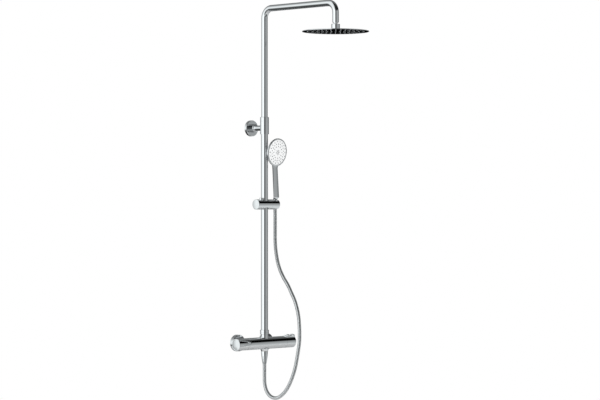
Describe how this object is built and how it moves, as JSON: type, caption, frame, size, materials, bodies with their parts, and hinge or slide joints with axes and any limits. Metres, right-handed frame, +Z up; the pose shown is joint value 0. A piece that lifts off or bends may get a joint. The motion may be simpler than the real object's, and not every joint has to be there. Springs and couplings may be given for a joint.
{
  "type": "rainfall shower column",
  "caption": "Wall-mounted thermostatic bar mixer with a telescopic riser, overhead rain head, height-adjustable hand shower holder, hand shower and spiral hose.",
  "frame": {"origin": "on the wall plane, midway between the two inlet threads, at the height of the mixer bar's axis", "axes": "+X to the right when facing the wall, +Y into the wall, +Z up"},
  "size_m": [0.3, 0.614, 1.5173],
  "materials": {
    "chrome": "polished",
    "hose_metal": "polished spiral band",
    "mirror_face": "mirror",
    "brass": "machined",
    "seal_rubber": "matte",
    "grey_silicone": "satin",
    "engineering_plastic": "moulded",
    "white_plastic": "gloss",
    "steel": "turned"
  },
  "bodies": {
    "column": {"mixer_body": "chrome", "inlet_union_hot": "brass", "inlet_union_cold": "brass", "union_nuts": "chrome", "washers": "seal_rubber", "check_valves": "engineering_plastic", "rosette_hot": "chrome", "rosette_cold": "chrome", "thermostatic_cartridge": "engineering_plastic", "flow_cartridge": "engineering_plastic", "cartridge_nuts": "brass", "riser_union_nut": "chrome", "riser_tail": "brass", "riser_tube": "chrome", "outlet_nipple": "brass", "hose_nut_lower": "chrome", "hose": "hose_metal", "bracket_plate": "steel", "bracket_screws": "steel", "bracket_rosette": "chrome", "bracket_body": "chrome", "bracket_grub_screw": "steel", "telescope_nut": "chrome", "wiper_seal": "seal_rubber"},
    "telescope": {"glide_bush": "engineering_plastic", "glide_orings": "seal_rubber"},
    "arm": {"overhead_arm": "chrome", "arm_tail": "brass", "ball_stud": "chrome"},
    "ball_race": {"ball_seat": "engineering_plastic"},
    "rain_head": {"ball_nut": "chrome", "head_hub": "chrome", "head_shell": "chrome", "head_face": "mirror_face", "nozzle_mat": "grey_silicone"},
    "carriage": {"slider_bush": "engineering_plastic"},
    "slider": {"slider_body": "chrome", "slider_end_cap": "chrome", "holder_pivot": "steel", "release_spring": "steel"},
    "slide_button": {"release_button": "chrome"},
    "holder": {"handset_holder": "chrome"},
    "handset": {"handset_shell": "chrome", "handset_waterway": "engineering_plastic", "handset_tail": "chrome", "handset_collar": "chrome", "hose_nut_upper": "chrome", "hose_washer_upper": "seal_rubber"},
    "spray_plate": {"spray_face": "white_plastic", "spray_mat": "grey_silicone"},
    "flow_control": {"flow_handle": "chrome", "flow_cap": "chrome", "flow_spindle": "brass", "flow_screw": "steel"},
    "temperature_control": {"temperature_handle": "chrome", "temperature_cap": "chrome", "temperature_spindle": "brass", "temperature_screw": "steel", "safety_spring": "steel"},
    "stop_button": {"safety_button": "chrome"}
  },
  "joints": [
    {"name": "arm_height", "type": "slide", "parent": "column", "child": "telescope", "axis": [0, 0, 1], "range_m": [-0.2, 0.1]},
    {"name": "arm_swivel", "type": "hinge", "parent": "telescope", "child": "arm", "pos_m": [0, -0.08, 0.7], "axis": [0, 0, 1], "range_deg": [-60, 60]},
    {"name": "head_tilt", "type": "hinge", "parent": "arm", "child": "ball_race", "pos_m": [0, -0.465, 1.199], "axis": [1, 0, 0], "range_deg": [-12, 12]},
    {"name": "head_roll", "type": "hinge", "parent": "ball_race", "child": "rain_head", "pos_m": [0, -0.465, 1.199], "axis": [0, 1, 0], "range_deg": [-12, 12]},
    {"name": "slider_height", "type": "slide", "parent": "column", "child": "carriage", "axis": [0, 0, 1], "range_m": [-0.25, 0.23], "deforming": ["hose"]},
    {"name": "slider_swivel", "type": "hinge", "parent": "carriage", "child": "slider", "pos_m": [0, -0.08, 0.535], "axis": [0, 0, 1], "range_deg": [-40, 40]},
    {"name": "release_press", "type": "slide", "parent": "slider", "child": "slide_button", "axis": [0, 0, -1], "range_m": [0, 0.004], "stiffness_N_per_m": 600, "springref_m": -0.004, "deforming": ["release_spring"]},
    {"name": "holder_tilt", "type": "hinge", "parent": "slider", "child": "holder", "pos_m": [0, -0.08, 0.535], "axis": [1, 0, 0], "range_deg": [0, 25]},
    {"name": "handset_lift", "type": "slide", "parent": "holder", "child": "handset", "axis": [0, 0, 1], "range_m": [0, 0.05]},
    {"name": "spray_select", "type": "hinge", "parent": "handset", "child": "spray_plate", "pos_m": [0.046, -0.1055, 0.736], "axis": [0.0692, -0.9901, -0.1219], "range_deg": [-60, 60]},
    {"name": "flow_turn", "type": "hinge", "parent": "column", "child": "flow_control", "pos_m": [-0.12, -0.08, 0], "axis": [1, 0, 0], "range_deg": [-90, 90]},
    {"name": "temperature_turn", "type": "hinge", "parent": "column", "child": "temperature_control", "pos_m": [0.12, -0.08, 0], "axis": [1, 0, 0], "range_deg": [-150, 60]},
    {"name": "stop_press", "type": "slide", "parent": "temperature_control", "child": "stop_button", "axis": [0, 0.2588, -0.9659], "range_m": [0, 0.0022], "stiffness_N_per_m": 800, "springref_m": -0.003, "deforming": ["safety_spring"]}
  ]
}
